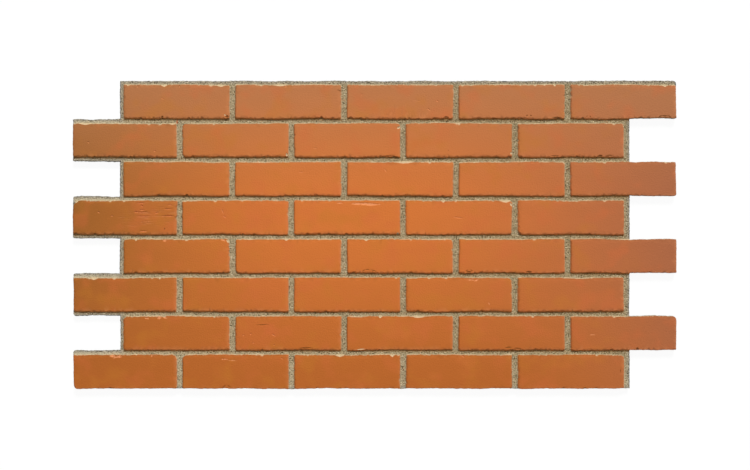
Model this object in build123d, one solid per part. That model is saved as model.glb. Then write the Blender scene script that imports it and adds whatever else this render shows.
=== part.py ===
from build123d import *
import os

# A moulded faux brick wall panel, lying on its back with its brick face up.
# X runs along the courses, Y up the wall and Z out of the wall. The origin is
# the middle of the back face. Lengths are millimetres and angles are degrees.

# The running bond
COURSES = 8
BRICKS_IN_COURSE = 5
BRICK_LENGTH = 214.0
BRICK_HEIGHT = 68.0
HEAD_JOINT = 12.0
BED_JOINT = 10.0

# The mortar along the panel's edges, and the fingers that lock into the next panel
TOP_STRIP = 8.0
LEFT_STRIP = 6.5
RIGHT_STRIP = 12.0
FINGER_REACH = 94.5
FIT_GAP = 1.5  # play above and below a finger in the next panel's notch

# The section
BACKING = 16.0  # back face to mortar
BRICK_PROUD = 5.6  # mortar to brick face
PROUD_STEPS = (0.0, 0.4, -0.3, 0.2, -0.4, 0.3, -0.1)  # uneven faces, in laying order
DRAFT = 14.0
ARRIS = 1.2  # soft edge round a brick's face, taken off flat
ARRIS_LIMIT = 0.6  # most of a brick's wall that its arris takes
CORNER_RADIUS = 2.5
CORNER_LEDGE = 0.4  # how much rounder a brick's corner is than the backing under it

# Corners worn rounder than the rest, by course from the top and brick from the left
WORN_CORNERS = {
    (2, 2, "top_left"): 5.0,
    (2, 2, "bottom_left"): 5.0,
    (4, 1, "top_left"): 12.0,
    (4, 4, "top_right"): 6.0,
    (4, 5, "bottom_left"): 5.0,
    (5, 1, "top_left"): 4.5,
    (7, 1, "top_left"): 5.0,
    (8, 1, "top_right"): 5.0,
    (8, 1, "bottom_left"): 6.0,
    (8, 2, "top_left"): 5.0,
}
FLAT = 0.001  # a rise or a step of less than this counts as none
CORNERS = {
    "top_left": (-1, 1),
    "top_right": (1, 1),
    "bottom_left": (-1, -1),
    "bottom_right": (1, -1),
}

# Sizes that follow
BRICK_PITCH = BRICK_LENGTH + HEAD_JOINT
COURSE_PITCH = BRICK_HEIGHT + BED_JOINT
REPEAT_LENGTH = LEFT_STRIP + BRICKS_IN_COURSE * BRICK_PITCH - HEAD_JOINT
PANEL_LENGTH = REPEAT_LENGTH + FINGER_REACH
PANEL_HEIGHT = TOP_STRIP + COURSES * COURSE_PITCH - BED_JOINT
PANEL_LEFT = -PANEL_LENGTH / 2
PANEL_RIGHT = PANEL_LENGTH / 2
PANEL_TOP = PANEL_HEIGHT / 2
PANEL_BOTTOM = -PANEL_HEIGHT / 2
BODY_LEFT = PANEL_LEFT + FINGER_REACH
BODY_RIGHT = PANEL_RIGHT - FINGER_REACH
FRINGE = BED_JOINT - FIT_GAP  # mortar along a left finger, above and below its brick


def is_odd(course):
    """Odd courses reach out at the right, even ones at the left."""
    return course % 2 == 1


def brick_top(course):
    return PANEL_TOP - TOP_STRIP - (course - 1) * COURSE_PITCH


def brick_bottom(course):
    return brick_top(course) - BRICK_HEIGHT


def brick_ends(course, number):
    """Left and right end of a brick. The first brick of an even course is cut short."""
    if is_odd(course):
        left = BODY_LEFT + LEFT_STRIP + (number - 1) * BRICK_PITCH
        return left, left + BRICK_LENGTH
    right = BODY_RIGHT - RIGHT_STRIP - (BRICKS_IN_COURSE - number) * BRICK_PITCH
    left = PANEL_LEFT if number == 1 else right - BRICK_LENGTH
    return left, right


def corner_radius(course, number, corner):
    return WORN_CORNERS.get((course, number, corner), CORNER_RADIUS)


def brick_proud(course, number):
    laid_before = (course - 1) * BRICKS_IN_COURSE + number - 1
    return BRICK_PROUD + PROUD_STEPS[laid_before % len(PROUD_STEPS)]


def upright_edge(brick, toward):
    """The upright edge of a brick that lies furthest toward one corner."""
    uprights = [edge for edge in brick.edges() if edge.bounding_box().size.Z > FLAT]
    return max(uprights, key=lambda edge: toward[0] * edge.center().X + toward[1] * edge.center().Y)


def make_brick(course, number):
    """One brick above the mortar: drafted walls, rounded corners and a soft arris."""
    left, right = brick_ends(course, number)
    proud = brick_proud(course, number)
    brick = extrude(Rectangle(right - left, BRICK_HEIGHT), proud, taper=DRAFT)
    for corner, toward in CORNERS.items():
        brick = fillet(upright_edge(brick, toward), corner_radius(course, number, corner))
    face = brick.faces().sort_by(Axis.Z)[-1]
    brick = chamfer(face.edges(), min(ARRIS, ARRIS_LIMIT * proud))
    middle = ((left + right) / 2, (brick_top(course) + brick_bottom(course)) / 2, BACKING)
    return Pos(*middle) * brick


def make_block(left, right, bottom, top):
    """A plain stretch of backing, as thick as the mortar level."""
    block = extrude(Rectangle(right - left, top - bottom), BACKING)
    return Pos((left + right) / 2, (bottom + top) / 2, 0) * block


def round_finger(block, end, course, number):
    """Rounds a finger's two free upright edges, by its brick's corner where that is flush."""
    for row, flush in (("top", brick_top(course)), ("bottom", brick_bottom(course))):
        corner = f"{row}_{end}"
        edge = upright_edge(block, CORNERS[corner])
        is_flush = abs(edge.center().Y - flush) < FLAT
        radius = corner_radius(course, number, corner) if is_flush else CORNER_RADIUS
        block = fillet(edge, radius - CORNER_LEDGE)
    return block


def make_right_finger(course):
    """The backing of an odd course's last brick, bare above and below."""
    top = PANEL_TOP if course == 1 else brick_top(course)
    finger = make_block(0, PANEL_RIGHT, brick_bottom(course), top)
    return round_finger(finger, "right", course, BRICKS_IN_COURSE)


def make_left_finger(course):
    """The backing of an even course's first brick, with its fringe of bed mortar."""
    bottom = max(PANEL_BOTTOM, brick_bottom(course) - FRINGE)
    finger = make_block(PANEL_LEFT, 0, bottom, brick_top(course) + FRINGE)
    return round_finger(finger, "left", course, 1)


def make_backing():
    """The toothed slab up to the mortar level, with its flat back. Fingers start mid-panel."""
    backing = make_block(BODY_LEFT, BODY_RIGHT, PANEL_BOTTOM, PANEL_TOP)
    for course in range(1, COURSES + 1):
        finger = make_right_finger(course) if is_odd(course) else make_left_finger(course)
        backing += finger
    return backing


def make_panel():
    """The whole moulding as one solid: the backing and every brick on it."""
    bricks = [
        make_brick(course, number)
        for course in range(1, COURSES + 1)
        for number in range(1, BRICKS_IN_COURSE + 1)
    ]
    return make_backing() + bricks


os.makedirs("parts", exist_ok=True)
export_step(make_panel(), "parts/brick_panel.step")
print(f"panel {PANEL_LENGTH:.0f} x {PANEL_HEIGHT:.0f} mm, repeat {REPEAT_LENGTH:.0f} mm")
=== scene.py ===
import math

import bmesh
import bpy
import numpy as np
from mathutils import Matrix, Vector


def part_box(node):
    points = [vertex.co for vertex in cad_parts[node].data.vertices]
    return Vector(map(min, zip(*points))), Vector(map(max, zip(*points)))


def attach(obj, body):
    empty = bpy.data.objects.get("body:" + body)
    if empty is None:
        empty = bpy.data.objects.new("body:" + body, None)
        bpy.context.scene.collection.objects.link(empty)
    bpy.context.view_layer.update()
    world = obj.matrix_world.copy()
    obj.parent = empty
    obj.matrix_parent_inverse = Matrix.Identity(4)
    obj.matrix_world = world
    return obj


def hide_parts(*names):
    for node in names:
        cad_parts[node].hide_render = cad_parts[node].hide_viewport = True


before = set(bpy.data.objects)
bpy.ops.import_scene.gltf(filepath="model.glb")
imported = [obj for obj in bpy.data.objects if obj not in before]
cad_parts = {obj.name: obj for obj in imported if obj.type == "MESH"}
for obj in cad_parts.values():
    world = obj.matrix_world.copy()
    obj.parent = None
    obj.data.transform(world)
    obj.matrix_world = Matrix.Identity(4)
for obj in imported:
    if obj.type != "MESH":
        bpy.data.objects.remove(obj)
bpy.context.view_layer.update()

# The moulding
# One piece of rigid foam, cast in a mould taken from real brickwork and then painted.
# Bricks, joints and backing are one skin, and the toothed ends lock into the panels
# beside it. Sizes are metres, and the panel lies on its back.

MM = 0.001
COURSES = 8
BRICKS_IN_COURSE = 5
BRICK_LENGTH = 214 * MM
BRICK_HEIGHT = 68 * MM
HEAD_JOINT = 12 * MM
BED_JOINT = 10 * MM
TOP_STRIP = 8 * MM
LEFT_STRIP = 6.5 * MM
RIGHT_STRIP = 12 * MM
FINGER_REACH = 94.5 * MM
FRINGE = 8.5 * MM  # mortar along a left finger, above and below its brick
MORTAR_LEVEL = 16 * MM
TOP_FACE = 0.99 * MORTAR_LEVEL  # what lies above this is the face, the rest walls and back
BRICK_PITCH = BRICK_LENGTH + HEAD_JOINT
COURSE_PITCH = BRICK_HEIGHT + BED_JOINT

PANEL_LOW, PANEL_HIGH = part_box("brick_panel")
LEFT, BOTTOM = PANEL_LOW.x, PANEL_LOW.y
RIGHT, TOP = PANEL_HIGH.x, PANEL_HIGH.y
BODY_LEFT = LEFT + FINGER_REACH
BODY_RIGHT = RIGHT - FINGER_REACH
COURSES_TOP = TOP - TOP_STRIP
ODD_START = BODY_LEFT + LEFT_STRIP
EVEN_START = BODY_RIGHT - RIGHT_STRIP - BRICKS_IN_COURSE * BRICK_PITCH + HEAD_JOINT


def brick_edges(course, number):
    """Left, right, bottom and top of one brick, counted from the top left."""
    start = ODD_START if course % 2 else EVEN_START
    left = start + (number - 1) * BRICK_PITCH
    top = COURSES_TOP - (course - 1) * COURSE_PITCH
    return max(left, LEFT), min(left + BRICK_LENGTH, RIGHT), top - BRICK_HEIGHT, top


ALL_BRICKS = [(c + 1, n + 1) for c in range(COURSES) for n in range(BRICKS_IN_COURSE)]

# Lines of the mesh run along every brick edge and crowd there, at these distances in
# from the edge. Between them no gap is wider than the plain spacing.
EDGE_STATIONS = [d * MM for d in (-3.2, -1.5, 0, 0.5, 0.95, 1.35, 1.9, 2.9, 4.4)]
PLAIN_SPACING = 1.7 * MM
LEAST_SPACING = 0.3 * MM


def mesh_lines(outline, edges):
    """Sorted positions: the outline's, then the stations of each (edge, inward) pair."""
    lines = sorted(set(round(p, 6) for p in outline))
    stations = [edge + inward * d for d in EDGE_STATIONS for edge, inward in edges]
    for place in sorted(stations, key=lambda p: min(abs(p - edge) for edge, _ in edges)):
        inside = lines[0] < place < lines[-1]
        if inside and min(abs(place - line) for line in lines) > LEAST_SPACING:
            lines.append(place)
    lines.sort()
    filled = [lines[0]]
    for low, high in zip(lines, lines[1:]):
        steps = math.ceil((high - low) / PLAIN_SPACING)
        filled += [low + (high - low) * (i + 1) / steps for i in range(steps)]
    return np.array(filled)


MIDDLE = 0  # a finger's box runs in to the middle of the panel, through the body


def outline_boxes():
    """The panel's plan as boxes: the body, then a finger for each course."""
    boxes = [(BODY_LEFT, BODY_RIGHT, BOTTOM, TOP)]
    for course in range(1, COURSES + 1):
        _, _, low, high = brick_edges(course, 1)
        if course % 2:
            boxes.append((MIDDLE, RIGHT, low, TOP if course == 1 else high))
        else:
            boxes.append((LEFT, MIDDLE, max(BOTTOM, low - FRINGE), high + FRINGE))
    return boxes


def plate_mesh():
    """The flat top face in the panel's outline: its points, its squares and its rim."""
    boxes = outline_boxes()
    sides = [brick_edges(*brick) for brick in ALL_BRICKS]
    across = [(s[0], 1) for s in sides] + [(s[1], -1) for s in sides]
    along = [(s[2], 1) for s in sides] + [(s[3], -1) for s in sides]
    outline_x = [p for b in boxes for p in b[:2] if p != MIDDLE]
    outline_y = [p for b in boxes for p in b[2:]]
    xs = mesh_lines(outline_x, sorted(set(across)))
    ys = mesh_lines(outline_y, sorted(set(along)))

    mid_x = (xs[1:] + xs[:-1])[None, :] / 2
    mid_y = (ys[1:] + ys[:-1])[:, None] / 2
    filled = np.zeros((len(ys) - 1, len(xs) - 1), bool)
    for x0, x1, y0, y1 in boxes:
        filled |= (mid_x > x0) & (mid_x < x1) & (mid_y > y0) & (mid_y < y1)

    rows, columns = np.nonzero(filled)
    width = len(xs)
    corner = rows * width + columns
    top = np.stack([corner, corner + 1, corner + width + 1, corner + width], 1)
    used, index = np.unique(top, return_inverse=True)
    top = index.reshape(top.shape)
    flat = np.stack([xs[used % width], ys[used // width]], 1)

    starts, ends = top.ravel(), np.roll(top, -1, axis=1).ravel()
    both_ways = set(zip(ends.tolist(), starts.tolist()))
    rim = [e for e in zip(starts.tolist(), ends.tolist()) if e not in both_ways]
    return flat, top, rim


# The rows of the side walls, from the mortar level down to the back
SIDE_LEVELS = [share * MORTAR_LEVEL for share in (1, 0.86, 0.55, 0.25, 0)]


def close_plate(name, flat, top, rim):
    """Adds side walls in a few rows and a flat back to the top face."""
    count = len(flat)
    onward = dict(rim)
    rim_points = sorted(onward)
    place = {point: i for i, point in enumerate(rim_points)}
    points = [np.column_stack([flat, np.full(count, MORTAR_LEVEL)])]
    for level in SIDE_LEVELS[1:]:
        points.append(np.column_stack([flat[rim_points], np.full(len(rim_points), level)]))
    faces = top.tolist()

    def ring(row, point):
        return point if row == 0 else count + (row - 1) * len(rim_points) + place[point]

    rows = len(SIDE_LEVELS) - 1
    for row in range(rows):
        for a, b in rim:
            faces.append([ring(row, b), ring(row, a), ring(row + 1, a), ring(row + 1, b)])
    loop, here = [], rim_points[0]
    while not loop or here != rim_points[0]:
        loop.append(ring(rows, here))
        here = onward[here]
    faces.append(loop[::-1])
    mesh = bpy.data.meshes.new(name)
    mesh.from_pydata(np.vstack(points).tolist(), [], faces)
    return mesh


# Corners worn rounder than the rest, by course from the top and brick from the left
CORNER_RADIUS = 2.5 * MM
WORN_CORNERS = {
    (1, 5, "top right"): 5 * MM,
    (2, 2, "top left"): 8 * MM,
    (2, 2, "bottom left"): 8 * MM,
    (2, 3, "top right"): 8 * MM,
    (3, 5, "bottom right"): 5 * MM,
    (4, 1, "top left"): 17 * MM,
    (4, 4, "top right"): 9 * MM,
    (4, 5, "bottom left"): 9 * MM,
    (5, 1, "top left"): 8 * MM,
    (5, 1, "top right"): 8 * MM,
    (5, 2, "bottom left"): 7 * MM,
    (5, 2, "top right"): 5 * MM,
    (5, 3, "top right"): 8 * MM,
    (6, 1, "bottom left"): 5 * MM,
    (6, 4, "top right"): 8 * MM,
    (7, 1, "top left"): 9 * MM,
    (7, 1, "top right"): 7 * MM,
    (7, 1, "bottom left"): 4 * MM,
    (7, 2, "top left"): 6 * MM,
    (7, 5, "top right"): 8 * MM,
    (8, 1, "top right"): 10 * MM,
    (8, 1, "bottom left"): 9 * MM,
    (8, 2, "top left"): 9 * MM,
    (8, 5, "top right"): 7 * MM,
}
BRICK_PROUD = 5.6 * MM
PROUD_STEPS = [step * MM for step in (0, 0.4, -0.3, 0.2, -0.4, 0.3, -0.1)]


def around_brick(points, course, number):
    """Which points lie on a brick or in its half of the joints round it."""
    left, right, bottom, top = brick_edges(course, number)
    near_x = (points[:, 0] > left - HEAD_JOINT / 2) & (points[:, 0] < right + HEAD_JOINT / 2)
    near_y = (points[:, 1] > bottom - BED_JOINT / 2) & (points[:, 1] < top + BED_JOINT / 2)
    return near_x & near_y


def brick_prouds(points):
    """How far the brick at each point stands out of the mortar."""
    prouds = np.full(len(points), BRICK_PROUD)
    for laid_before, brick in enumerate(ALL_BRICKS):
        step = PROUD_STEPS[laid_before % len(PROUD_STEPS)]
        prouds[around_brick(points, *brick)] = BRICK_PROUD + step
    return prouds


def corner_radii(points):
    """The radius of the brick corner that each point lies next to."""
    radii = np.full(len(points), CORNER_RADIUS)
    for (course, number, corner), radius in WORN_CORNERS.items():
        left, right, bottom, top = brick_edges(course, number)
        x_mid, y_mid = (left + right) / 2, (bottom + top) / 2
        in_x = points[:, 0] < x_mid if "left" in corner else points[:, 0] > x_mid
        in_y = points[:, 1] < y_mid if "bottom" in corner else points[:, 1] > y_mid
        radii[around_brick(points, course, number) & in_x & in_y] = radius
    return radii


def free_corners():
    """The fingers' outer corners, as x, y, the side and end they face, and a radius."""
    corners = []
    for course in range(1, COURSES + 1):
        _, _, low, high = brick_edges(course, 1)
        if course % 2:
            upper = WORN_CORNERS.get((course, BRICKS_IN_COURSE, "top right"), CORNER_RADIUS)
            lower = WORN_CORNERS.get((course, BRICKS_IN_COURSE, "bottom right"), CORNER_RADIUS)
            corners.append((RIGHT, TOP if course == 1 else high, 1, 1, upper))
            corners.append((RIGHT, low, 1, -1, lower))
        else:
            lower = WORN_CORNERS.get((course, 1, "bottom left"), CORNER_RADIUS)
            corners.append((LEFT, high + FRINGE, -1, 1, CORNER_RADIUS))
            corners.append((LEFT, max(BOTTOM, low - FRINGE), -1, -1, lower))
    return corners


SLACK = 0.1 * MM  # so that rounding leaves no point of the outline out


def round_corners(flat):
    """Pulls the square corners of the outline in to arcs."""
    for x, y, side, end, radius in free_corners():
        in_x, in_y = radius - (x - flat[:, 0]) * side, radius - (y - flat[:, 1]) * end
        inside = (in_x <= radius + SLACK) & (in_y <= radius + SLACK)
        near = (in_x > 0) & (in_y > 0) & inside
        pull = 1 - np.maximum(in_x, in_y)[near] / np.hypot(in_x, in_y)[near]
        flat[near, 0] -= in_x[near] * pull * side
        flat[near, 1] -= in_y[near] * pull * end


# Single marks, as x, y, length, width and turn, in millimetres and degrees. Cream nicks
# are notches with mortar in them, and dark nicks are notches with painted shade in them.
# Scuffs are rubbed paint, ticks are small scratches, and the grooves are dragged along one brick.
CREAM_NICKS = (
    (-426, 303, 14, 8.4, 0), (-311, 303, 20, 8.4, 0), (-585, 225, 30, 6, 0), (-409, 225, 18, 6, 0),
    (-191, 303, 34, 6, 0), (-178, 161, 5, 7, 20), (170, 225, 5, 8, 0), (59, 147, 42, 6, 0),
    (138, 69, 9, 8.4, 0), (46, 2.5, 5, 5, 0), (264, 69, 24, 8.4, 0), (-483, -9, 5, 8, 0),
    (-297, -13.5, 10, 4.6, -38), (-179, -9, 10, 6, 0), (-18, -9, 10, 7, 0), (156, -30.5, 3, 5, 0),
    (-568, -87, 18, 8.4, 0), (-435, -87, 6, 6, 0), (-400, -133, 3, 5, 0), (11, -165, 8, 7, 0),
    (88, -165, 28, 6.5, 0), (-71, -243, 18, 8, 0), (35, -243, 10, 7.5, 0), (363, 303, 6, 7, 0),
    (586, 303, 15, 8.4, 0), (275, 165, 4, 6, 0), (-30, -231.5, 20, 2, 4), (-303, 242, 5, 3, -30),
    (48, 216.5, 8, 5, 30), (275, 61, 4, 9, 25), (-603, 67, 9, 5, 40),
)
PEACH_SCUFFS = (
    (-21, 62.3, 56, 5.4, -1), (-6, 60.5, 36, 3.8, 3), (-38, 61.5, 26, 3, -8), (-71, 64, 17, 3, 0),
    (-425, -12, 10, 5, 0), (-306, -11.2, 13, 4, -14), (-531, -244, 12, 2.5, -20),
    (-524, -248, 13, 2.2, 10), (-514, -247, 11, 2.2, 15), (192, -91, 26, 3, -4),
    (205, -92, 9, 4, 20), (-461, -169, 10, 4, -10), (-436, -168, 10, 6, 20),
    (-424, -168, 9, 4, -15), (-530, -245, 14, 6, -8), (-518, -246, 11, 4, 20),
    (-451, -245, 4, 5, 0), (-304, -251.5, 15, 2.5, 2), (-288, -254, 18, 2, -3),
    (438, -202, 12, 2, 0), (231, -140, 6, 2.5, -50),
)
TICKS = (
    (-429, 275, 7, 2.5, -10), (-579, 186.5, 5, 3, -20), (-445, 169, 5, 3.5, 20),
    (-27, 283, 3, 3, 0), (109, 253, 8, 3, -40), (126, 270, 6, 3, -40), (84, 271, 16, 1.6, -4),
    (-121, 174.5, 9, 2, 0), (-149, 126, 10, 2, 4), (21, 130, 9, 2.5, -60), (-308, 47, 12, 2.5, -70),
    (-304, 36, 8, 2.5, -30), (168, 34.5, 20, 2.5, -8), (-531, 38, 5, 3, 0),
    (-266, -203.5, 5, 2.5, 0), (-251, -201, 4, 3, 40), (-205, -203, 9, 3, -30),
    (-246, -218.5, 3, 3, 0), (-204, -223, 3, 3, 0), (-188, -250, 7, 2.5, -30),
    (178, -246, 7, 3, -40), (-558, 45, 6, 3, -30), (-457, 27, 3, 2.5, 0), (-471, 25, 3, 2, 0),
    (-479, 299.5, 3, 5, 0), (-395, 299.5, 3, 5, 0), (-180, 300, 3, 5, -20),
)
DARK_NICKS = (
    (-447, 236.8, 8, 3, 0), (-430, 237, 6, 7, 0), (-108, 236.5, 8, 7, 0), (-108, 236.5, 4, 9, 0),
    (-49, 236.5, 10, 5, 0), (-29, 236, 10, 3, 0), (144, 236.5, 12, 6, 0), (307, 240.5, 5, 3, 40),
    (315, 240.5, 5, 3, -40), (368, 236, 22, 5, 0), (428, 239, 6, 2, 35), (435, 239, 6, 2, -35),
    (537, 236.5, 10, 5, 0), (576, 239, 12, 2.5, 30), (585, 240.5, 16, 2.5, 0),
    (595, 239, 12, 2.5, -30), (-567, 158, 6, 3, 0), (-494, 158, 6, 3, 0), (31, 160, 26, 2.5, 3),
    (40, 157.5, 16, 3, 0), (364, 159, 21, 3, 0), (455, 158.5, 12, 6.5, 0), (474, 160, 21, 3, 0),
    (277, 176, 3, 4, 0), (15, 79.5, 6, 4, 0), (-380, 80.5, 8, 4, 0), (-23, -72.5, 9, 2.2, 35),
    (-15, -70.3, 11, 2.2, 3), (-3, -72.5, 17, 2.2, -16), (190, -75.5, 14, 4, 0),
    (186, -72.3, 8, 2.2, 25), (195, -72.3, 8, 2.2, -25), (311, -75.5, 14, 5, 0),
    (270, -228, 18, 3, 5), (288, -230, 21, 3, -4), (530, -231.5, 7, 8, 0), (-141, -229, 34, 3, 2),
    (-305, -306.3, 9, 2.2, 25), (-295, -306.3, 9, 2.2, -25), (496, -275, 2, 8, 0),
    (148, 170.5, 2, 2, 0), (-425, 12, 3, 4, 0), (-71, 291, 13, 2, -18), (-178, 164, 5, 2.5, -40),
    (-228, -182, 34, 2, 2), (-299, 238.5, 8, 6, 0),
)
GROOVES = (
    (-416, 37.7, 22, 2.8, 0), (-471, 45.2, 32, 2.2, 0), (-483, 46, 8, 3, 0),
    (-418, 51.5, 18, 2.2, 1), (-414, 60.3, 10, 2.4, 0), (-473, 63.4, 19, 2.4, -1),
    (-468, 6.3, 18, 2.4, 1), (-467, 37, 32, 1.8, 0), (-471, 50, 11, 2, 0), (-471, 58, 6, 3, -50),
    (-441, 44, 10, 2.2, 20), (-428, 37, 8, 2, 0),
)
MARKS = {
    "cream": CREAM_NICKS,
    "dent": DARK_NICKS,
    "peach": PEACH_SCUFFS,
    "tick": TICKS,
    "groove": GROOVES,
}

# How deep each kind is, as a share of its length or width, whichever is less. At outline
# power 2 a mark is an oval, and nearer 1 a notch with almost straight sides.
STEEPNESS = {"cream": 0.4, "dent": 0.38, "peach": 0.15, "tick": 0.3, "groove": 0.7}
OUTLINE_POWER = {"cream": 1.3, "dent": 1.3, "peach": 2, "tick": 2, "groove": 2}


def marks_near(points, name):
    """Where a point lies in the nearest mark of that kind, and how deep that mark is.

    The first is 1 in the middle of the mark, 0 on its rim and -1 well outside.
    """
    nearness = np.full(len(points), -1.0)
    depth = np.zeros(len(points))
    power = OUTLINE_POWER[name]
    for x, y, length, width, turn in MARKS[name]:
        off_x, off_y = points[:, 0] - x * MM, points[:, 1] - y * MM
        cos, sin = math.cos(math.radians(turn)), math.sin(math.radians(turn))
        along = abs(off_x * cos + off_y * sin) / (length / 2 * MM)
        beside = abs(off_y * cos - off_x * sin) / (width / 2 * MM)
        away = (along ** power + beside ** power) ** (1 / power)
        closer = 1 - away > nearness
        nearness[closer] = 1 - away[closer]
        depth[closer] = min(length, width) * STEEPNESS[name] * MM
    return nearness, depth


# How near a mark the mesh is split finer, and how near it is kept so. 0 is its rim.
SPLIT_FROM = -0.6
KEPT_FROM = -0.3


def read(items, name, parts=1, kind=float):
    """One value of every point, face or corner of a mesh, in rows where it has parts."""
    values = np.empty(len(items) * parts, kind)
    items.foreach_get(name, values)
    return values.reshape(-1, parts) if parts > 1 else values


def add_values(mesh, name, values):
    """Gives every point of a mesh a number of that name."""
    mesh.attributes.new(name, "FLOAT", "POINT").data.foreach_set("value", values)


def split_faces(mesh):
    """Packs the mesh lines on the top face three times as close where a mark lies."""
    work = bmesh.new()
    work.from_mesh(mesh)
    tops = [face for face in work.faces if len(face.verts) == 4 and face.normal.z > 0.5]
    middles = np.array([face.calc_center_median() for face in tops])
    marked = np.full(len(tops), False)
    for name in MARKS:
        marked |= marks_near(middles, name)[0] > SPLIT_FROM
    edges = {edge for face, near in zip(tops, marked) if near for edge in face.edges}
    edges = sorted(edges, key=lambda edge: edge.index)
    bmesh.ops.subdivide_edges(work, edges=edges, cuts=2, use_grid_fill=True)
    work.to_mesh(mesh)
    work.free()


BOWL_SLOPE, BOWL_POWER = 1.6, 0.7  # a mark's section: steep at its rim, then level
DEEPEST = 0.85  # no mark goes deeper than this share of the brick's height there


def press_marks(mesh):
    """Sinks the single marks into the bricks, and keeps on the mesh where they lie."""
    points = read(mesh.vertices, "co", 3)
    room = np.maximum(points[:, 2] - MORTAR_LEVEL, 0)
    sunk = np.zeros(len(points))
    for name in MARKS:
        nearness, depth = marks_near(points, name)
        add_values(mesh, name, nearness)
        bowl = np.clip(nearness * BOWL_SLOPE, 0, 1) ** BOWL_POWER
        sunk = np.maximum(sunk, bowl * depth)
    points[:, 2] -= np.minimum(sunk, room * DEEPEST)
    mesh.vertices.foreach_set("co", points.ravel())


RIM_WIDTH = 8 * MM


def rim_nearness(points):
    """1 on the panel's outline, falling to 0 a rim's width inside it.

    A finger's inner end lies within the body, so there its box is taken on to the far side.
    """
    depth = np.full(len(points), -1.0)
    for x0, x1, y0, y1 in outline_boxes():
        x0 = BODY_LEFT if x0 == MIDDLE else x0
        x1 = BODY_RIGHT if x1 == MIDDLE else x1
        to_x = np.minimum(points[:, 0] - x0, x1 - points[:, 0])
        to_y = np.minimum(points[:, 1] - y0, y1 - points[:, 1])
        depth = np.maximum(depth, np.minimum(to_x, to_y))
    return np.clip(1 - depth / RIM_WIDTH, 0, 1)


class Field:
    """A number that varies over the panel, worked out by the nodes of one tree."""

    def __init__(self, socket):
        self.socket = socket
        self.tree = socket.id_data

    def math(self, operation, *others):
        node = self.tree.nodes.new("ShaderNodeMath")
        node.operation = operation
        for slot, value in zip(node.inputs, (self, *others)):
            feed(slot, value)
        return Field(node.outputs[0])

    def __add__(self, other):
        return self.math("ADD", other)

    def __sub__(self, other):
        return self.math("SUBTRACT", other)

    def __rsub__(self, other):
        return (self * -1) + other

    def __mul__(self, other):
        return self.math("MULTIPLY", other)

    def __truediv__(self, other):
        return self.math("DIVIDE", other)

    def __pow__(self, other):
        return self.math("POWER", other)

    def whole(self, most):
        """Rounded down, and kept between 0 and the most."""
        return self.math("FLOOR").math("MAXIMUM", 0).math("MINIMUM", most)

    def least(self, other):
        return self.math("MINIMUM", other)

    def most(self, other):
        return self.math("MAXIMUM", other)

    def above(self, other):
        return self.math("GREATER_THAN", other)

    def rise(self, low, high):
        """0 at low and beyond, 1 at high and beyond, soft between."""
        node = self.tree.nodes.new("ShaderNodeMapRange")
        node.interpolation_type = "SMOOTHSTEP"
        feed(node.inputs["Value"], self)
        feed(node.inputs["From Min"], low)
        feed(node.inputs["From Max"], high)
        return Field(node.outputs["Result"])


def feed(slot, value):
    """Gives a node's input a field, or a plain number or colour."""
    if isinstance(value, Field):
        slot.id_data.links.new(value.socket, slot)
    else:
        slot.default_value = value


def three(x, y, z):
    """A vector field from three fields or numbers, the first of them a field."""
    node = x.tree.nodes.new("ShaderNodeCombineXYZ")
    for slot, value in zip(node.inputs, (x, y, z)):
        feed(slot, value)
    return Field(node.outputs[0])


def parts_of(vector):
    """The x, y and z of a vector field, or the red, green and blue of a colour."""
    node = vector.tree.nodes.new("ShaderNodeSeparateXYZ")
    feed(node.inputs[0], vector)
    return [Field(socket) for socket in node.outputs]


NOISE_SPREAD = 4.6  # the plain noise keeps close to 0.5, and this spreads it out


def noise(x, y, grain, seed, detail=1.0):
    """Soft random unevenness, mostly between -1 and 1, with lumps of the grain's size."""
    node = x.tree.nodes.new("ShaderNodeTexNoise")
    feed(node.inputs["Vector"], three(x / grain, y / grain, seed))
    node.inputs["Scale"].default_value = 1
    node.inputs["Detail"].default_value = detail
    return (Field(node.outputs[0]) - 0.5) * NOISE_SPREAD


def dice(first, second, seed):
    """Three random numbers from 0 to 1 for each pair of whole numbers."""
    node = first.tree.nodes.new("ShaderNodeTexWhiteNoise")
    node.noise_dimensions = "3D"
    feed(node.inputs["Vector"], three(first, second, seed))
    return parts_of(Field(node.outputs["Color"]))


def bond(x, y):
    """The running bond's rule: how deep a point lies inside its brick, and which brick.

    The depths are counted inward from each of the brick's four edges.
    """
    course = ((COURSES_TOP + BED_JOINT / 2 - y) / COURSE_PITCH).whole(COURSES - 1)
    start = course.math("MODULO", 2) * (EVEN_START - ODD_START) + ODD_START
    number = ((x - start + HEAD_JOINT / 2) / BRICK_PITCH).whole(BRICKS_IN_COURSE - 1)
    left = start + number * BRICK_PITCH
    top = COURSES_TOP - course * COURSE_PITCH
    depths = {
        "left": x - left.most(LEFT),
        "right": (left + BRICK_LENGTH).least(RIGHT) - x,
        "bottom": y - top + BRICK_HEIGHT,
        "top": top - y,
    }
    return depths, course * BRICKS_IN_COURSE + number


# How far each unevenness reaches. Swell moves every brick edge out into the joint, and
# sag moves the lower one further.
RELIEF = {
    "Wall width": 1.9 * MM,
    "Long wave": 1.5 * MM,
    "Short wave": 0.45 * MM,
    "Swell": 0.35 * MM,
    "Sag": 0.5 * MM,
    "Ragged arris": 0.65 * MM,
    "Rough outline": 0.7 * MM,
    "Uneven outline": 0.9 * MM,
    "Notch spill": 1.2 * MM,
    "Finger spill": 1.6 * MM,
    "Face unevenness": 0.3 * MM,
    "Mortar grain": 0.35 * MM,
    "Mortar lumps": 0.6 * MM,
    "Nick spacing": 26 * MM,
    "Nick reach": 1.9 * MM,
    "Nick share": 0.55,
    "Seed": 3.0,
}
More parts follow.
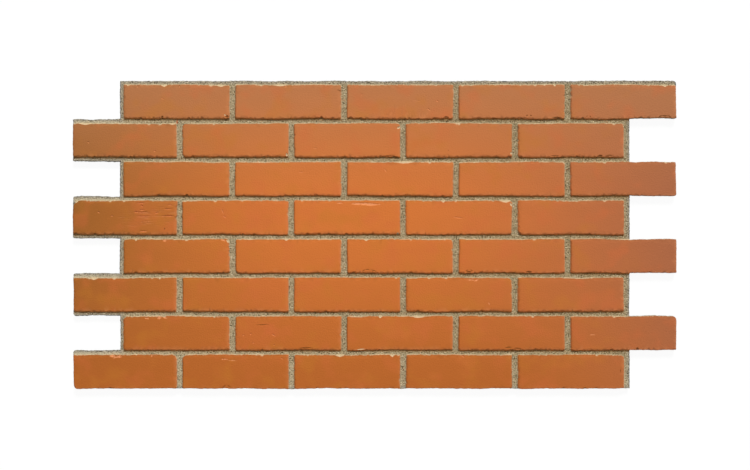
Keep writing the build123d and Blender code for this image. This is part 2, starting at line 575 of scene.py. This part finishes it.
# Across a wall's width from its foot, the share of the brick's height that it has reached
WALL_SECTION = ((0, 0), (0.35, 0.5), (0.7, 0.93), (0.85, 0.985), (1, 1))
LOOSE_REACH = 16 * MM  # a brick edge's wandering dies out this far inside the brick
INSET_LIMIT = 4 * MM  # the paint needs no more than this of a point's depth in its brick


def wall_section(depth, width):
    """A brick wall's section: steep and drafted, with a small soft arris."""
    node = depth.tree.nodes.new("ShaderNodeFloatCurve")
    curve = node.mapping.curves[0]
    for at, height in WALL_SECTION[1:-1]:
        curve.points.new(at, height)
    node.mapping.update()
    feed(node.inputs["Value"], (depth / width).most(0).least(1))
    return Field(node.outputs[0])


def nicks(along_edge, depth, line, share, size, seed):
    """Half-round nicks scattered along one edge: how deep a point lies in one, 0 to 1.

    The edge is cut into even stretches. Each holds at most one nick, off its ends.
    """
    spacing = size["Nick spacing"]
    cell = (along_edge / spacing).math("FLOOR")
    place_in, breadth, present = dice(cell, line, seed)
    centre = (cell + place_in * 0.7 + 0.15) * spacing
    reach = size["Nick reach"] * (breadth * breadth * 1.2 + 0.4)
    off = (along_edge - centre) / (reach * 1.4)
    into = depth / reach
    bowl = (1 - off * off - into * into).most(0)
    return bowl * present.above(1 - share)


def relief_tree():
    """Raises the bricks from the plate, waves and nicks their edges and roughs the mortar."""
    tree = bpy.data.node_groups.new("moulded relief", "GeometryNodeTree")
    face = tree.interface
    face.new_socket("Geometry", in_out="INPUT", socket_type="NodeSocketGeometry")
    for name, size in RELIEF.items():
        face.new_socket(name, in_out="INPUT", socket_type="NodeSocketFloat").default_value = size
    face.new_socket("Material", in_out="INPUT", socket_type="NodeSocketMaterial")
    face.new_socket("Geometry", in_out="OUTPUT", socket_type="NodeSocketGeometry")
    given = tree.nodes.new("NodeGroupInput")
    size = {name: Field(given.outputs[name]) for name in RELIEF}
    seed = size["Seed"]

    def stored(name):
        node = tree.nodes.new("GeometryNodeInputNamedAttribute")
        node.data_type = "FLOAT"
        node.inputs["Name"].default_value = name
        return Field(node.outputs["Attribute"])

    place = Field(tree.nodes.new("GeometryNodeInputPosition").outputs[0])
    x, y, z = parts_of(place)
    depths, brick = bond(x, y)
    across = depths["left"].least(depths["right"])
    along = (depths["bottom"] + size["Sag"]).least(depths["top"])
    to_right = depths["left"].above(depths["right"]) * 2 - 1
    to_top = depths["bottom"].above(depths["top"]) * 2 - 1

    # How far inside its brick's rounded outline a point lies, the brick a bit swollen
    radius = stored("corner_radius")
    off_x, off_y = radius - across, radius - along
    beyond = (off_x.most(0) ** 2 + off_y.most(0) ** 2) ** 0.5
    inset = radius - beyond - off_x.most(off_y).least(0) + size["Swell"]

    # Each edge wanders, long and short, along a line of its own in the noise, and the middle
    # of the joint stays put. The seeds of all random patterns count on from the tree's.
    grip_x = across.rise(-HEAD_JOINT / 2, 0) * across.rise(LOOSE_REACH, LOOSE_REACH / 4)
    grip_y = along.rise(-BED_JOINT / 2, 0) * along.rise(LOOSE_REACH, LOOSE_REACH / 4)
    line_x = brick * 2.7 + to_right
    line_y = brick * 3.1 + to_top
    shift_x, shift_y = 0, 0
    for wave, grain, detail in (("Long wave", 90 * MM, 2), ("Short wave", 8 * MM, 1)):
        bend_x = noise(y, line_x * grain, grain, seed, detail) * size[wave]
        bend_y = noise(x, line_y * grain, grain, seed + 5, detail) * size[wave]
        shift_x = bend_x * grip_x * 0.7 + shift_x
        shift_y = bend_y * grip_y + shift_y

    # The outline is uneven and rough where it is mortar
    at_rim = stored("rim") * inset.rise(-0.3 * MM, -2.5 * MM)
    for name, grain, detail in (("Rough outline", 5 * MM, 3), ("Uneven outline", 60 * MM, 2)):
        wander = at_rim * size[name]
        shift_x = noise(x, y, grain, seed + 11, detail) * wander + shift_x
        shift_y = noise(x, y, grain, seed + 17, detail) * wander + shift_y

    # On the upper courses the moulding spilled a little to the left, in its notches and
    # at its fingers' ends
    far_left, upper = x / LEFT, y.rise(-130 * MM, -50 * MM)
    notch_side = far_left.rise(0.82, 0.84) * far_left.rise(0.88, 0.86) * upper
    shift_x = shift_x - at_rim * notch_side * size["Notch spill"]
    shift_x = shift_x - far_left.rise(0.96, 1) * upper * size["Finger spill"]

    # Nibbled arrises, then nicks along the edges, more on some bricks than on others
    wear = dice(brick, 1, seed + 51)[0]
    nibble = noise(x, y, 4 * MM, seed + 23, 2).rise(0.1, 0.9) * (wear + 0.4) * size["Ragged arris"]
    raised = wall_section(inset - nibble, size["Wall width"])
    share = (wear + 0.3) * size["Nick share"]
    nick = nicks(x, along, line_y, share, size, seed)
    nick = nick.most(nicks(y, across, line_x, share, size, seed + 3) * 0.7)

    uneven = noise(x, y, 45 * MM, seed + 31) * size["Face unevenness"]
    mortar = noise(x, y, 3 * MM, seed + 41, 2) * size["Mortar grain"]
    mortar = mortar + noise(x, y, 14 * MM, seed + 43, 1) * size["Mortar lumps"]
    lift = raised * (stored("proud") + uneven) * (1 - nick * 0.8) + (1 - raised) * mortar
    on_top = z.above(TOP_FACE)

    # Kept before the points move, so that the paint follows the wandering edges
    values = {
        "nick": nick,
        "inset": inset.most(-INSET_LIMIT).least(INSET_LIMIT),
        "upward": (across - along).rise(-0.5 * MM, 1.5 * MM) * to_top,
        "rightward": (along - across).rise(-0.5 * MM, 1.5 * MM) * to_right,
    }
    last = given.outputs["Geometry"]
    for name, value in values.items():
        keep = tree.nodes.new("GeometryNodeStoreNamedAttribute")
        keep.data_type = "FLOAT"
        keep.domain = "POINT"
        keep.inputs["Name"].default_value = name
        tree.links.new(last, keep.inputs["Geometry"])
        feed(keep.inputs["Value"], value)
        last = keep.outputs[0]
    move = tree.nodes.new("GeometryNodeSetPosition")
    tree.links.new(last, move.inputs["Geometry"])
    feed(move.inputs["Offset"], three(shift_x, shift_y, lift * on_top))
    whole = tree.nodes.new("GeometryNodeRealizeInstances")
    tree.links.new(move.outputs[0], whole.inputs[0])
    paint = tree.nodes.new("GeometryNodeSetMaterial")
    tree.links.new(whole.outputs[0], paint.inputs["Geometry"])
    tree.links.new(given.outputs["Material"], paint.inputs["Material"])
    out = tree.nodes.new("NodeGroupOutput")
    tree.links.new(paint.outputs[0], out.inputs[0])
    return tree


def run_tree(piece, tree, values):
    """Gives a piece its tree with those inputs, and returns the mesh that comes out."""
    modifier = piece.modifiers.new(tree.name, "NODES")
    modifier.node_group = tree
    for item in tree.interface.items_tree:
        if item.item_type == "SOCKET" and item.name in values:
            modifier[item.identifier] = values[item.name]
    mesh = settled_mesh(piece)
    piece.modifiers.remove(modifier)
    return mesh


def settled_mesh(piece):
    """The plain mesh of a piece, with its modifiers worked in."""
    graph = bpy.context.evaluated_depsgraph_get()
    return bpy.data.meshes.new_from_object(piece.evaluated_get(graph), depsgraph=graph)


# The paint is matt and sprayed on, brick colour over the faces and sandy grey in the
# joints. It ends on the side walls, where the bare foam shows.


def srgb(red, green, blue):
    """A colour as a screen shows it, turned into the linear one that a shader takes."""
    def linear(level):
        share = level / 255
        return share / 12.92 if share < 0.04045 else ((share + 0.055) / 1.055) ** 2.4
    return (linear(red), linear(green), linear(blue), 1)


BRICK_CENTRE = srgb(211, 117, 53)
BRICK_LEFT = srgb(124, 84, 32)
BRICK_RIGHT = srgb(156, 97, 70)
BRICK_TOP = srgb(180, 119, 77)
BRICK_BOTTOM = srgb(176, 96, 37)
BRICK_RUDDY = srgb(206, 104, 58)
BRICK_GOLDEN = srgb(190, 118, 40)
MORTAR = srgb(170, 151, 114)
MORTAR_DARK = srgb(74, 64, 40)
MORTAR_PALE = srgb(212, 200, 168)
MORTAR_RIM = srgb(161, 155, 145)
CREAM = srgb(222, 200, 160)
PEACH = srgb(240, 158, 106)
WARM_PAINTED_SHADOW = srgb(176, 116, 30)
# Dark brown for painted shade along edges, under bricks and in nicks
PAINTED_SHADE = srgb(104, 64, 18)
BARE_FOAM = srgb(214, 196, 158)

# How strongly each of these covers the colour under it
COVER = {
    "golden area": 0.3,
    "ruddy area": 0.3,
    "ruddy patch": 0.2,
    "upper edge shade": 0.3,
    "left edge shade": 0.1,
    "lower edge highlight": 0.3,
    "right edge highlight": 0.25,
    "grey rim": 0.8,
    "dark rim": 0.25,
    "pits": 0.9,
    "sand": 0.8,
    "pale fringe": 0.55,
    "smear_and_highlight": 0.85,
    "warm painted shadow": 0.42,
    "stray dab": 0.7,
    "shadow_line": 0.8,
    "pale nick": 0.6,
    "dark nick": 0.5,
    "drag": 0.15,
    "scuff": 0.8,
    "tick": 0.3,
    "groove": 0.5,
    "dent": 0.6,
    "chip": 0.8,
}

# Bands along a brick's edge, as depths inside the brick in millimetres: where each starts
# in the joint, where it is full, where it fades on the brick and where it is gone
SMEAR_AND_HIGHLIGHT_BAND = (-1.6, -0.2, 0.3, 1.3)
WARM_SHADOW_BAND = (-5, -0.5, 0.9, 1.7)
SHADOW_LINE_BAND = (-1.4, -0.2, 0.3, 1.1)

SAND_HEIGHT = 0.75 * MM
SKIN_HEIGHT = 0.12 * MM
SCRATCH_DEPTH = 0.25 * MM
DRAG_DEPTH = 0.4 * MM
JOINT_ROUGHNESS = 0.95
BRICK_ROUGHNESS = 0.75
PAINT_GLOSS = 0.12

# Soft oval areas, as x, y, length, width and turn, in millimetres and degrees. The paint
# is dragged across or down in some, strayed onto the mortar in one, and ruddier in others.
DRAG_ACROSS = ((-445, 44, 120, 26, 4), (-470, 20, 60, 16, 0), (-415, 33, 34, 22, 0))
DRAG_DOWN = ((35, 250, 46, 34, 0), (70, 243, 60, 22, 0))
STRAY_DABS = ((-400.5, 228, 3.5, 9, 0),)
RUDDY_PATCHES = (
    (40, 246, 60, 22, 8), (-235, 42, 120, 60, 30), (-205, -110, 110, 60, 20),
    (-244, -200, 130, 50, 0),
)


def blend(share, low, high):
    """A colour between two, as fields or plain colours."""
    node = share.tree.nodes.new("ShaderNodeMix")
    node.data_type = "RGBA"
    feed(node.inputs[0], share)
    feed(node.inputs[6], low)
    feed(node.inputs[7], high)
    return Field(node.outputs[2])


DRAG_STRETCH = 14  # how much longer than wide the streaks of dragged paint are
OVAL_RIM = (1.35, 0.6)  # where an oval's soft rim starts and ends, as a share of its size


def ovals(place, marks, ragged):
    """1 inside any of those oval marks and 0 outside them all, with a soft, ragged rim."""
    tree = place.tree
    inside = None
    for x, y, length, width, turn in marks:
        node = tree.nodes.new("ShaderNodeMapping")
        node.vector_type = "TEXTURE"
        node.inputs["Location"].default_value = (x * MM, y * MM, 0)
        node.inputs["Rotation"].default_value = (0, 0, math.radians(turn))
        node.inputs["Scale"].default_value = (length / 2 * MM, width / 2 * MM, 1)
        feed(node.inputs["Vector"], place)
        far = tree.nodes.new("ShaderNodeVectorMath")
        far.operation = "LENGTH"
        tree.links.new(node.outputs[0], far.inputs[0])
        nearest = Field(far.outputs["Value"])
        inside = nearest if inside is None else inside.least(nearest)
    return (inside + ragged).rise(*OVAL_RIM)


def band(inset, depths, ragged=0):
    """1 along the bricks' edges between those depths, with soft limits."""
    start, full, fade, gone = (depth * MM for depth in depths)
    return inset.rise(start, full) * (inset + ragged).rise(gone, fade)


def kept(tree, name):
    """A value that the mesh carries at each point."""
    node = tree.nodes.new("ShaderNodeAttribute")
    node.attribute_name = name
    return Field(node.outputs["Fac"])


SOFT_AREA = 55 * MM  # the size of the areas where a brick's colour changes softly


def brick_tone(x, y, patches):
    """The brick colour: the paint's drift with golden and ruddy areas, and painted light over it.
    """
    # Painted light: brightest mid-panel, darker at the left, a paler painted sheen at top and right
    tone = blend((x / RIGHT).rise(0, 1.4), BRICK_CENTRE, BRICK_RIGHT)
    tone = blend((x / LEFT).rise(0.2, 1.4), tone, BRICK_LEFT)
    tone = blend((y / TOP).rise(0.1, 1.3), tone, BRICK_TOP)
    lower = (y / BOTTOM).rise(-0.3, 1.3) * (x / RIGHT).rise(1.3, 0.4)
    tone = blend(lower, tone, BRICK_BOTTOM)
    golden = noise(x, y, SOFT_AREA, 29, 2).rise(0, 1) * (x / RIGHT).rise(1, 0.6)
    tone = blend(golden * COVER["golden area"], tone, BRICK_GOLDEN)
    ruddy = noise(x, y, SOFT_AREA, 17, 2).rise(0, 1) * COVER["ruddy area"]
    return blend(ruddy + patches * COVER["ruddy patch"], tone, BRICK_RUDDY)


def sandy_mortar(x, y, rim, paler):
    """Mortar with its sand: pale grains, dark pits and a greyer rim."""
    grain = noise(x, y, 2.6 * MM, 7, 2)
    patch = noise(x, y, 12 * MM, 9, 2)
    mortar = blend(paler, MORTAR, MORTAR_PALE)
    mortar = blend(rim * COVER["grey rim"], mortar, MORTAR_RIM)
    mortar = blend(rim.rise(0.75, 1) * COVER["dark rim"], mortar, MORTAR_DARK)
    pits = (grain + patch * 0.3).rise(0.1, 0.8)
    mortar = blend(pits * COVER["pits"], mortar, MORTAR_DARK)
    sand = (grain * -1 + patch * -0.3).rise(0.1, 0.9)
    return blend(sand * COVER["sand"], mortar, MORTAR_PALE)


def joint_tone(x, y, slanted, inset, rim, upward):
    """The joint colour, paler at the left and at the foot, with painted shadow below each brick."""
    paler = (x / LEFT).rise(-0.6, 1.2) * 0.3 + (y / BOTTOM).rise(0.78, 0.85) * 0.25
    mortar = sandy_mortar(*slanted, rim, paler)
    # Painted shadow on the mortar just under each brick, heavier towards the top
    shade = inset.rise(-6.5 * MM, -2 * MM) * upward.rise(-0.2, -0.9) * (y / TOP * 0.12 + 0.2)
    mortar = blend(shade, mortar, MORTAR_DARK)
    fringe = (x / LEFT).rise(0.82, 0.86) * upward.rise(0.2, 0.8)
    return blend(fringe * COVER["pale fringe"], mortar, MORTAR_PALE)


def painted_foam():
    """The whole paint: bricks, joints, edges with wear and painted light, single marks, one over
    the other.

    Each noise has a seed of its own.
    """
    material = bpy.data.materials.new("painted foam")
    material.use_nodes = True
    tree = material.node_tree
    shader = tree.nodes["Principled BSDF"]
    x, y, z = parts_of(Field(tree.nodes.new("ShaderNodeTexCoord").outputs["Object"]))
    inset, rim, nick = (kept(tree, name) for name in ("inset", "rim", "nick"))
    upward, rightward = kept(tree, "upward"), kept(tree, "rightward")
    cream, dent, peach, tick, groove = (kept(tree, name) for name in MARKS)
    slanted = (x + z * 1.3, y - z * 1.1)  # keeps the grain from running in streaks down a wall
    crumbs = noise(*slanted, 3.2 * MM, 13, 3)
    drift = noise(x, y, 26 * MM, 15, 2)
    place = three(x, y, 0)
    broken = crumbs * 0.2

    on_brick = (z + crumbs * 0.3 * MM).rise(MORTAR_LEVEL + 0.5 * MM, MORTAR_LEVEL + 1.5 * MM)
    on_brick = on_brick * cream.rise(0.7, 0.4)
    face = inset.rise(0.4 * MM, 1.6 * MM) * on_brick
    tone = brick_tone(x, y, ovals(place, RUDDY_PATCHES, drift * 0.6))

    # Painted shade along the top and left of a brick, and a painted highlight along the rest
    edge = inset.rise(3.9 * MM, 1.2 * MM)
    downward, leftward = upward * -1, rightward * -1
    dark = (upward * COVER["upper edge shade"]).most(leftward * COVER["left edge shade"])
    pale = (downward * COVER["lower edge highlight"]).most(rightward * COVER["right edge highlight"])
    tone = blend(edge * dark.most(0), tone, PAINTED_SHADE)
    tone = blend(edge * pale.most(0), tone, PEACH)
    skin = blend(on_brick, joint_tone(x, y, slanted, inset, rim, upward), tone)

    # Mortar lies over the edges, and a painted highlight with it, most at the top and right.
    # Below each brick lies painted shadow.
    at_top, at_right, at_left = (way.rise(0.3, 0.9) for way in (upward, rightward, leftward))
    dragged = at_top + at_right * 0.65 + at_left * 0.25
    smear_and_highlight = band(inset, SMEAR_AND_HIGHLIGHT_BAND, crumbs * 1.2 * MM) * dragged
    smear_and_highlight = smear_and_highlight * (drift * 0.5 + 0.6).most(0.15).least(1)
    skin = blend(smear_and_highlight * COVER["smear_and_highlight"], skin, CREAM)
    # A warm painted shadow on the mortar just under each brick
    stray = band(inset, WARM_SHADOW_BAND, crumbs * 0.6 * MM) * upward.rise(-0.2, -0.9)
    skin = blend(stray * COVER["warm painted shadow"], skin, WARM_PAINTED_SHADOW)
    # A dark painted shadow line along each brick's foot, uneven along its length
    shadow_line = band(inset, SHADOW_LINE_BAND) * upward.rise(-0.3, -0.9)
    shadow_line = shadow_line * (drift + crumbs * 0.5).rise(-0.6, 1)
    skin = blend(shadow_line * COVER["shadow_line"], skin, PAINTED_SHADE)
    dabs = ovals(place, STRAY_DABS, broken) * (1 - on_brick)
    skin = blend(dabs * COVER["stray dab"], skin, BRICK_RUDDY)
    # Nicks: pale mortar on their upper side, painted shade on their lower side
    nicked = (nick * 2.5).least(1) * on_brick
    skin = blend(nicked * upward.rise(-0.3, 0.3) * COVER["pale nick"], skin, CREAM)
    skin = blend(nicked * upward.rise(-0.3, -0.8) * COVER["dark nick"], skin, PAINTED_SHADE)

    # The single marks
    scuffs = (peach + crumbs * 0.5).rise(0, 0.6) * on_brick
    ticks = (tick + broken).rise(-0.1, 0.4) * face
    dents = (dent + broken).rise(-0.15, 0.3) * on_brick
    chips = (cream + broken).rise(-0.15, 0.2) * inset.rise(-2.5 * MM, -0.5 * MM)
    grooves = groove.rise(0, 0.5) * face
    across = noise(x / DRAG_STRETCH, y, 2 * MM, 25, 1).rise(0.15, 0.8)
    across = across * ovals(place, DRAG_ACROSS, drift * 0.5)
    down = noise(x, y / DRAG_STRETCH, 2 * MM, 27, 1).rise(0.15, 0.8)
    down = down * ovals(place, DRAG_DOWN, drift * 0.5)
    drags = across.most(down) * face
    # Scratches show rubbed paint, tinted peach; on the grooves the tint is also a painted highlight
    scratches = (ticks * COVER["tick"]).most(grooves * COVER["groove"])
    skin = blend(drags * COVER["drag"], skin, PEACH)
    skin = blend(scuffs * COVER["scuff"], skin, PEACH)
    skin = blend(scratches, skin, PEACH)
    # Painted shade in the dark nicks
    skin = blend(dents * COVER["dent"], skin, PAINTED_SHADE)
    skin = blend(chips * COVER["chip"], skin, CREAM)

    # The spray fades out down the side walls
    spray = (z + noise(*slanted, 8 * MM, 19, 3) * 1.5 * MM).rise(5 * MM, 12 * MM)
    feed(shader.inputs["Base Color"], blend(spray, BARE_FOAM, skin))
    smoother = JOINT_ROUGHNESS - BRICK_ROUGHNESS
    feed(shader.inputs["Roughness"], JOINT_ROUGHNESS - on_brick * smoother)
    shader.inputs["Specular IOR Level"].default_value = PAINT_GLOSS

    bump = tree.nodes.new("ShaderNodeBump")
    bump.inputs["Strength"].default_value = 1
    bump.inputs["Distance"].default_value = 1
    sand = noise(*slanted, 2.4 * MM, 21, 2) * SAND_HEIGHT * (1 - on_brick)
    skin_grain = noise(x, y, 3 * MM, 23, 1) * SKIN_HEIGHT
    height = sand + skin_grain - (ticks + scuffs) * SCRATCH_DEPTH - drags * DRAG_DEPTH
    feed(bump.inputs["Height"], height)
    tree.links.new(bump.outputs[0], shader.inputs["Normal"])
    return material


# The map's square is as wide as the panel, with a gap round each stretch of it
MAP_GAP = 4 * MM
MAP_ROW = 26 * MM
MAP_SIDE = RIGHT - LEFT + 2 * MAP_GAP


def unfold(mesh):
    """A map of the skin: the front flat, the side walls in rows above it, the back small."""
    corners_each = read(mesh.polygons, "loop_total", kind=np.int64)
    facing = np.repeat(read(mesh.polygons, "normal", 3), corners_each, axis=0)
    middle = np.repeat(read(mesh.polygons, "center", 3), corners_each, axis=0)
    x, y, z = read(mesh.vertices, "co", 3)[read(mesh.loops, "vertex_index", kind=np.int64)].T

    across, up = x - LEFT + MAP_GAP, y - BOTTOM + MAP_GAP
    low = TOP - BOTTOM + 3 * MAP_GAP
    wall = (middle[:, 2] < TOP_FACE) & (abs(facing[:, 2]) < 0.5)
    back = facing[:, 2] < -0.5
    course = ((COURSES_TOP + BED_JOINT / 2 - middle[:, 1]) / COURSE_PITCH).astype(int)
    course = np.clip(course, 0, COURSES - 1)
    endways = wall & (abs(facing[:, 0]) > abs(facing[:, 1]))
    end_row = facing[:, 0] > 0
    long_row = 2 + course // 2 + (facing[:, 1] > 0) * (COURSES // 2)
    row = np.where(endways, end_row, long_row)
    along = np.where(endways, y - BOTTOM + MAP_GAP, across)
    up = np.where(wall, low + row * MAP_ROW + z, up)
    across = np.where(wall, along, across)
    start = low + (2 + COURSES) * MAP_ROW
    shrunk = (MAP_SIDE - start - MAP_GAP) / (TOP - BOTTOM)
    across = np.where(back, MAP_GAP + (x - LEFT) * shrunk, across)
    up = np.where(back, start + (y - BOTTOM) * shrunk, up)
    layer = mesh.uv_layers.new(name="OFBake")
    layer.data.foreach_set("uv", (np.stack([across, up], 1) / MAP_SIDE).ravel())


# The plate is raised into bricks by the tree, and then the single marks are pressed in
flat, top_faces, rim_edges = plate_mesh()
round_corners(flat)
plate = close_plate("plate", flat, top_faces, rim_edges)
split_faces(plate)
ground = read(plate.vertices, "co", 3)
add_values(plate, "corner_radius", corner_radii(ground))
add_values(plate, "proud", brick_prouds(ground))
add_values(plate, "rim", rim_nearness(ground))
panel = bpy.data.objects.new("moulded_panel", plate)
bpy.context.scene.collection.objects.link(panel)
panel.data = run_tree(panel, relief_tree(), {**RELIEF, "Material": painted_foam()})
press_marks(panel.data)

# Flat stretches get by with fewer triangles, and the marks keep all of theirs
MOST_TRIANGLES = 190000
panel.data.calc_loop_triangles()
keep_fine = panel.vertex_groups.new(name="marks")
fine = np.zeros(len(panel.data.vertices), bool)
for name in MARKS:
    fine |= read(panel.data.attributes[name].data, "value") > KEPT_FROM
keep_fine.add(np.nonzero(fine)[0].tolist(), 1, "REPLACE")
thin = panel.modifiers.new("thin", "DECIMATE")
thin.vertex_group = keep_fine.name
thin.invert_vertex_group = True
thin.ratio = min(1, MOST_TRIANGLES / len(panel.data.loop_triangles))
panel.data.shade_smooth()
weigh = panel.modifiers.new("weigh", "WEIGHTED_NORMAL")
weigh.mode = "FACE_AREA"
panel.data = settled_mesh(panel)
panel.modifiers.clear()
unfold(panel.data)

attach(panel, "root")
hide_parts("brick_panel")

# The studio
# A white floor that keeps a soft shadow, one soft key light from the top of the
# picture and an even white surround. The camera looks straight down on the panel.

PIXELS_WIDE = 750
MM_A_PIXEL = 2.02
FRAME_DROP = 0.6 * MM  # the picture's middle lies this far below the panel's
LENS = 85
SENSOR = 36
KEY_HEIGHT = math.radians(48)
KEY_TURN = math.radians(12)
KEY_SOFTNESS = math.radians(15)
SURROUND = 0.35
KEY_STRENGTH = (1 - SURROUND) * math.pi / math.sin(KEY_HEIGHT)


def seen_directly(tree):
    """1 for rays from the camera, from a reflection or through glass, else 0."""
    path = tree.nodes.new("ShaderNodeLightPath")
    camera = Field(path.outputs["Is Camera Ray"])
    glossy = Field(path.outputs["Is Glossy Ray"])
    through = Field(path.outputs["Is Transmission Ray"])
    return camera.most(glossy).most(through)


FLOOR_COLOUR = (0.9, 0.9, 0.9, 1)
FLOOR_GLOW = 1.02
FLOOR_WHITE = 0.92  # the share of plain white that the camera sees, the rest being paper


def floor_paper():
    """Pale matt paper that looks white to the camera and still keeps a faint shadow."""
    material = bpy.data.materials.new("white floor")
    material.use_nodes = True
    tree = material.node_tree
    shader = tree.nodes["Principled BSDF"]
    shader.inputs["Base Color"].default_value = FLOOR_COLOUR
    shader.inputs["Roughness"].default_value = 1
    shader.inputs["Specular IOR Level"].default_value = 0
    glow = tree.nodes.new("ShaderNodeEmission")
    glow.inputs["Strength"].default_value = FLOOR_GLOW
    mix = tree.nodes.new("ShaderNodeMixShader")
    feed(mix.inputs[0], seen_directly(tree) * FLOOR_WHITE)
    tree.links.new(shader.outputs[0], mix.inputs[1])
    tree.links.new(glow.outputs[0], mix.inputs[2])
    tree.links.new(mix.outputs[0], tree.nodes["Material Output"].inputs["Surface"])
    return material


SQUARE = ((-1, -1), (1, -1), (1, 1), (-1, 1))
FLOOR_HALF = 12.0
FLOOR_DROP = 0.2 * MM
floor_mesh = bpy.data.meshes.new("floor")
floor_corners = [(a * FLOOR_HALF, b * FLOOR_HALF, -FLOOR_DROP) for a, b in SQUARE]
floor_mesh.from_pydata(floor_corners, [], [(0, 1, 2, 3)])
floor_mesh.materials.append(floor_paper())
floor = bpy.data.objects.new("floor", floor_mesh)
bpy.context.scene.collection.objects.link(floor)

bpy.context.scene.view_settings.view_transform = "Standard"
world = bpy.data.worlds.new("surround")
bpy.context.scene.world = world
world.use_nodes = True
background = world.node_tree.nodes["Background"]
background.inputs["Color"].default_value = (1, 1, 1, 1)
feed(background.inputs["Strength"], seen_directly(world.node_tree) * (1 - SURROUND) + SURROUND)

key = bpy.data.objects.new("key light", bpy.data.lights.new("key light", "SUN"))
key.data.energy = KEY_STRENGTH
key.data.angle = KEY_SOFTNESS
towards = Vector((
    math.sin(KEY_TURN) * math.cos(KEY_HEIGHT),
    math.cos(KEY_TURN) * math.cos(KEY_HEIGHT),
    math.sin(KEY_HEIGHT),
))
key.rotation_euler = towards.to_track_quat("Z", "Y").to_euler()
bpy.context.scene.collection.objects.link(key)

camera = bpy.data.objects.new("camera", bpy.data.cameras.new("camera"))
camera.data.lens = LENS
camera.data.sensor_width = SENSOR
distance = LENS / SENSOR * PIXELS_WIDE * MM_A_PIXEL * MM
camera.location = (0, -FRAME_DROP, PANEL_HIGH.z + distance)
bpy.context.scene.collection.objects.link(camera)
bpy.context.scene.camera = camera
